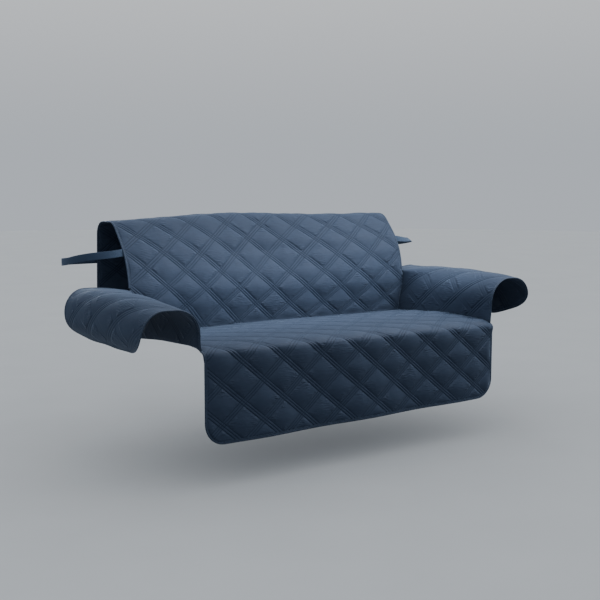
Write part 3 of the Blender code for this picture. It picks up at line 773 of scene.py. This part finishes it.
STITCH_ROW_PLACE = 0.0030  # how far round the tape from its inner edge
STITCH_ROW_WIDTH = 0.0018
STITCH_ROW_SHADE = 0.9
STITCH_SHINE = 0.5  # how much of the row's painted shade each stitch takes away
TAPE_STITCH_DEPTH = 0.0004


def tape_finish(name):
    """Bias tape: fine slanting ribs, painted shade in the hollows of its puckers, and a row of stitches along
    its inner side with painted shade in their ditch.
    """
    tape = Finish(name, Sheen_Weight=0.16, Sheen_Roughness=0.40, Sheen_Tint=CLOTH_SHEEN,
                  Specular_IOR_Level=0.1)
    place, along, round_it = tape.mapped()
    ribs = (along + round_it).wave(TAPE_RIB_SPACING)
    puckers = tape.noise(place, TAPE_PUCKERS, stretch=TAPE_PUCKER_STRETCH)
    stitches = along.wave(STITCH_LENGTH).between(*STITCH_RANGE)
    stitch_row = abs(round_it - STITCH_ROW_PLACE).between(0.0, STITCH_ROW_WIDTH, 1.0, 0.0)
    # Painted shade: the tape is darker in the hollows of its puckers
    colour = tape.mixed(puckers.between(*TAPE_PUCKER_RANGE), TAPE_DEEP_BLUE, TAPE_BLUE)
    # Painted shade in the ditch along the row of stitches, lighter at each stitch
    colour = tape.mixed(stitch_row * (STITCH_ROW_SHADE - stitches * STITCH_SHINE), colour, STITCH_AND_SHADE_BLUE)
    relief = ribs * TAPE_RIB_HEIGHT + puckers * TAPE_PUCKER_HEIGHT
    relief = relief + stitch_row * (stitches * TAPE_STITCH_DEPTH - TAPE_STITCH_DEPTH)
    tape.show(colour, puckers.above(*TAPE_ROUGHNESS), relief)
    return tape


def lofted(name, rings, laid, finish, outwards):
    """A closed piece through rings of points, with a flat face at both ends."""
    count, points = rings.shape[:2]
    ring = np.arange(points)
    faces = []
    for i in range(count - 1):
        here, there = i * points + ring, (i + 1) * points + ring
        faces += np.column_stack([here, np.roll(here, -1), np.roll(there, -1), there]).tolist()
    faces += [ring[::-1].tolist(), (ring + (count - 1) * points).tolist()]
    if not outwards:
        faces = [face[::-1] for face in faces]
    smooth = [True] * (len(faces) - 2) + [False] * 2
    laid = np.stack(np.meshgrid(*laid, indexing="ij"), axis=-1).reshape(-1, 2)
    return shaped(name, rings.reshape(-1, 3), faces, smooth, laid, finish)


def folded_tape(name, line, place, outwards):
    """Tape along a flat line that runs with the cloth on its left."""
    steps = np.diff(line, axis=0)
    steps /= np.linalg.norm(steps, axis=1)[:, None]
    along = np.vstack([steps[:1], steps[1:] + steps[:-1], steps[-1:]])
    along /= np.linalg.norm(along, axis=1)[:, None]
    away = np.column_stack([along[:, 1], -along[:, 0]])
    rings = []
    for reach, rise in TAPE_SECTION:
        flat = line + away * reach
        rings.append(place(flat) + normals(place, flat, outwards) * rise)
    rings = np.array(rings).transpose(1, 0, 2)
    laid = lengths_along(rings[:, 0]), lengths_along(TAPE_SECTION)
    return lofted(name, rings, laid, tape_cloth, outwards)


FRONT_BINDING_END = 0.318  # up the side edges from the front hem: where the arms' seams begin
REAR_BINDING_START = FOLD_AT["above the arms"] - 0.008  # just below where those seams end
tape_cloth = tape_finish("bias_tape")
drop_edges, upper_edges = [], []
for side, edge in ((-1, left_edge), (1, right_edge)):
    drop_edges.append(edge[edge[:, 1] < FRONT_BINDING_END])
    upper_edges.append(edge[edge[:, 1] > panel_row(side * FREE_HALF_WIDTH, REAR_BINDING_START)])
front_line = np.vstack([drop_edges[0][::-1], hem_line(left_edge[0], right_edge[0]), drop_edges[1]])
rear_line = np.vstack([upper_edges[1], hem_line(right_edge[-1], left_edge[-1]), upper_edges[0][::-1]])
front_tape = folded_tape("front_tape", front_line, panel_place, True)
rear_tape = folded_tape("rear_tape", rear_line, panel_place, True)
arm_tapes = []
for side, name in ((-1, "left"), (1, "right")):
    arm_tapes.append(folded_tape("arm_tape_" + name, arm_free_edges[side], arm_place(side), side < 0))
for tape, node in ((front_tape, "binding_front"), (rear_tape, "binding_rear"),
                   (arm_tapes[0], "binding_arm_left"), (arm_tapes[1], "binding_arm_right")):
    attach(tape, "root")
    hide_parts(node)
for tape, name in zip(arm_tapes, ("left", "right")):
    bpy.data.objects["arm_cover_" + name]


# ---------------------------------------------------------------------------------------------------------
# The strap. Woven elastic, 28 mm wide, sewn flat under both side edges of the back and carried round behind
# the sofa's back, where it pulls the cover's sides in.

STRAP_WIDTH = 0.028
STRAP_THICKNESS = 0.0014
StrapPoint = namedtuple("StrapPoint", "across depth height lean")  # it leans by this angle, its top inwards
STRAP_ROUTE = (  # from the left edge of the back to the middle behind it
    StrapPoint(-0.710, 0.6200, 0.6095, 0.28),
    StrapPoint(-0.750, 0.6310, 0.606, 0.18),
    StrapPoint(-0.790, 0.6540, 0.603, 0.10),
    StrapPoint(-0.822, 0.6870, 0.596, 0.04),
    StrapPoint(-0.843, 0.7280, 0.586, 0.00),
    StrapPoint(-0.851, 0.7700, 0.576, 0.00),
    StrapPoint(-0.850, 0.8200, 0.570, 0.00),
    StrapPoint(-0.836, 0.8620, 0.568, 0.00),
    StrapPoint(-0.800, 0.8850, 0.567, 0.00),
    StrapPoint(-0.740, 0.8920, 0.566, 0.00),
    StrapPoint(-0.500, 0.8950, 0.564, 0.00),
    StrapPoint(-0.250, 0.8970, 0.562, 0.00),
    StrapPoint(0.000, 0.8975, 0.561, 0.00),
)
STRAP_SEWN_AT = 1.258  # how far up the panel from the front hem
STRAP_SEWN_LEAN = 0.34
STRAP_SEWN_INSETS = (0.028, 0.014, 0.0)  # its sewn end's places, in from the outer side of the tape
STRAP_SEWN_UNDER = 0.0022  # how far under the cloth's inner face they are
# On the right it is twisted, so the same places lean more and some are higher. The first is next to the back.
STRAP_RIGHT_TWIST = (0.35, 0.75, 0.85, 0.85, 0.80, 0.70, 0.50, 0.25)
STRAP_RIGHT_LIFT = (0.000, 0.000, 0.000, 0.002, 0.005, 0.008, 0.008, 0.006)
STRAP_STEPS = 6  # between two places
STRAP_ROUNDINGS = 24
STRAP_SECTION = (  # how far up from the strap's middle, and how far out, in halves of its width and thickness
    (-1.0, 0.0), (-0.985, 0.8), (-0.9, 1.0), (0.0, 1.0), (0.9, 1.0), (0.985, 0.8),
    (1.0, 0.0), (0.985, -0.8), (0.9, -1.0), (0.0, -1.0), (-0.9, -1.0), (-0.985, -0.8),
)
STRAP_BLUE = (0.025, 0.042, 0.074, 1.0)
STRAP_DEEP_BLUE = (0.016, 0.028, 0.052, 1.0)
STRAP_RIB_SPACING = 0.0022
STRAP_RIB_HEIGHT = 0.00018
STRAP_PICK_SPACING = 0.0011
STRAP_PICK_HEIGHT = 0.00005
STRAP_WEAR_PATCHES = 90.0
STRAP_WEAR_STRETCH = (0.5, 1.0, 1.0)
STRAP_WEAR_HEIGHT = 0.0003
STRAP_RIB_SHADE = 0.6
STRAP_WEAR_SHADE = 0.5
STRAP_ROUGHNESS = (0.6, 0.2)
UP = np.array([0.0, 0.0, 1.0])

strap_finish = Finish("woven_elastic", Sheen_Weight=0.12, Sheen_Roughness=0.5, Sheen_Tint=CLOTH_SHEEN,
                      Specular_IOR_Level=0.1)
place, along, up = strap_finish.mapped()
ribs = up.wave(STRAP_RIB_SPACING)
picks = along.wave(STRAP_PICK_SPACING)
wear = strap_finish.noise(place, STRAP_WEAR_PATCHES, stretch=STRAP_WEAR_STRETCH)
# Painted shade: darker in the valleys between the ribs; the wear adds the strap's own patchy tone
shade = ribs.between(-1.0, 1.0) * STRAP_RIB_SHADE + wear * STRAP_WEAR_SHADE
colour = strap_finish.mixed(shade, STRAP_DEEP_BLUE, STRAP_BLUE)
relief = ribs * STRAP_RIB_HEIGHT + picks * STRAP_PICK_HEIGHT + wear * STRAP_WEAR_HEIGHT
strap_finish.show(colour, wear.above(*STRAP_ROUGHNESS), relief)

tape_reach = max(reach for reach, rise in TAPE_SECTION)
hidden = []
for inset in STRAP_SEWN_INSETS:
    row = panel_row(-FREE_HALF_WIDTH, STRAP_SEWN_AT)
    flat = np.array([[-(FREE_HALF_WIDTH + tape_reach - inset), row]])
    sewn = panel_place(flat) - normals(panel_place, flat, True) * STRAP_SEWN_UNDER + ORIGIN
    hidden.append(StrapPoint(*sewn[0], STRAP_SEWN_LEAN))
left_route = np.array(hidden + list(STRAP_ROUTE))
right_route = left_route[-2::-1] * [-1.0, 1.0, 1.0, 1.0]
twisted = slice(-len(hidden) - len(STRAP_RIGHT_TWIST), -len(hidden))
right_route[twisted, 3] += STRAP_RIGHT_TWIST[::-1]
right_route[twisted, 2] += STRAP_RIGHT_LIFT[::-1]
route = np.vstack([left_route, right_route])
marks = np.linspace(0, len(route) - 1, STRAP_STEPS * (len(route) - 1) + 1)
route = np.column_stack([np.interp(marks, range(len(route)), values) for values in route.T])
route = relaxed(route, STRAP_ROUNDINGS)
middle = in_frame(*route.T[:3])
lean = route[:, 3:]
onward = np.gradient(middle, axis=0)
onward /= np.linalg.norm(onward, axis=1)[:, None]
inwards = np.cross(onward, UP)
inwards /= np.linalg.norm(inwards, axis=1)[:, None]
upright = inwards * np.sin(lean) + UP * np.cos(lean)
out = np.cross(onward, upright)
out /= np.linalg.norm(out, axis=1)[:, None]
section = np.array(STRAP_SECTION) * [STRAP_WIDTH / 2.0, STRAP_THICKNESS / 2.0]
rings = middle[:, None] + upright[:, None] * section[None, :, :1] + out[:, None] * section[None, :, 1:]
length = lengths_along(middle)
strap = lofted("elastic_band", rings, (length, section[:, 0]), strap_finish, True)
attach(strap, "root")
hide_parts("back_strap")
float(length[-1])


# ---------------------------------------------------------------------------------------------------------
# The floor, the light and the camera: a plain pale floor at the height of the sofa's feet, a pale sky that is
# a little darker at the horizon, and soft lamps for the cloth alone, which throw no light on the floor.

FLOOR_HEIGHT = -0.900
FLOOR_RADIUS = 14.0
FLOOR_CORNERS = 96
FLOOR_GREY = (0.64, 0.67, 0.70, 1.0)
FLOOR_PALE_GREY = (0.70, 0.73, 0.76, 1.0)
FLOOR_CLOUDS = 3.0  # to a metre
FLOOR_GRAIN = 140.0
FLOOR_GRAIN_HEIGHT = 0.0002
FLOOR_ROUGHNESS = (0.75, 0.1)
HORIZON_GREY = (0.49, 0.525, 0.575, 1.0)
SKY_GREY = (0.74, 0.76, 0.78, 1.0)
HORIZON_RISE = 0.25  # how far up the horizon's grey goes, out of 1 at the top of the sky

bpy.ops.object.select_all(action="DESELECT")
bpy.ops.mesh.primitive_circle_add(vertices=FLOOR_CORNERS, radius=FLOOR_RADIUS, fill_type="NGON",
                                  location=(0.0, 0.0, FLOOR_HEIGHT))
floor = bpy.context.object
floor.name = "floor"
bpy.ops.object.transform_apply(location=True, rotation=False, scale=False)
floor_finish = Finish("pale_floor", Specular_IOR_Level=0.2)
place = floor_finish.read("ShaderNodeTexCoord", {}, {}, "Object")
clouds = floor_finish.noise(place, FLOOR_CLOUDS, detail=4.0)
grain = floor_finish.noise(place, FLOOR_GRAIN)
floor_finish.show(floor_finish.mixed(clouds, FLOOR_GREY, FLOOR_PALE_GREY), grain.above(*FLOOR_ROUGHNESS),
                  grain * FLOOR_GRAIN_HEIGHT)
floor.data.materials.append(floor_finish.material)
floor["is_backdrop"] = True

world = bpy.data.worlds.new("studio")
bpy.context.scene.world = world
world.use_nodes = True
sky = Nodes(world.node_tree, "Background")
towards = sky.read("ShaderNodeTexCoord", {}, {}, "Generated")
rise = sky.read("ShaderNodeSeparateXYZ", {}, {0: towards}, "Z")
sky.join({"Color": sky.mixed(rise.between(0.0, HORIZON_RISE), HORIZON_GREY, SKY_GREY)})

Lamp = namedtuple("Lamp", "name width depth spread power colour place aim")
LAMPS = (
    Lamp("window", 1.2, 0.5, 180.0, 76.0, (1.02, 1.0, 0.97), (1.3, -1.05, 1.30), (0.0, -0.60, -0.45)),
    Lamp("overhead", 2.0, 0.5, 120.0, 16.0, (1.0, 1.0, 1.0), (0.1, -0.35, 1.40), (0.0, -0.35, -0.40)),
    Lamp("low", 1.5, 0.15, 90.0, 3.3, (1.0, 1.0, 1.0), (0.0, -0.72, -0.10), (0.0, -0.19, -0.34)),
    Lamp("rear left", 0.9, 0.9, 180.0, 12.5, (0.82, 0.97, 1.20), (-1.5, 0.35, 1.6), (0.0, -0.20, -0.30)),
    Lamp("rear", 2.0, 0.6, 120.0, 13.0, (0.90, 1.00, 1.10), (0.2, 2.40, 0.10), (0.0, 0.10, -0.25)),
)
unlit = bpy.data.collections.new("unlit_floor")
unlit.objects.link(floor)
unlit.collection_objects[0].light_linking.link_state = "EXCLUDE"
for lamp in LAMPS:
    light = bpy.data.lights.new(lamp.name, "AREA")
    light.shape = "RECTANGLE"
    light.size = lamp.width
    light.size_y = lamp.depth
    light.energy = lamp.power
    light.color = lamp.colour
    light.spread = math.radians(lamp.spread)
    lit = bpy.data.objects.new(lamp.name, light)
    bpy.context.scene.collection.objects.link(lit)
    lit.location = lamp.place
    lit.rotation_euler = (Vector(lamp.aim) - Vector(lamp.place)).to_track_quat("-Z", "Y").to_euler()
    lit.visible_camera = False
    lit.light_linking.receiver_collection = unlit

CAMERA_PLACE = (-2.3967, -3.8154, 0.2178)
CAMERA_FALL = 7.4145  # degrees below the level
CAMERA_TURN = -34.823
SENSOR_WIDTH = 36.0
LENS_LENGTH = 62.54
camera = bpy.data.objects.new("camera", bpy.data.cameras.new("camera"))
bpy.context.scene.collection.objects.link(camera)
bpy.context.scene.camera = camera
camera.data.sensor_width = SENSOR_WIDTH
camera.data.lens = LENS_LENGTH
camera.location = CAMERA_PLACE
camera.rotation_euler = (math.radians(90.0 - CAMERA_FALL), 0.0, math.radians(CAMERA_TURN))

{"cad": cad_box, "visual": [list(corner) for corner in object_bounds()]}
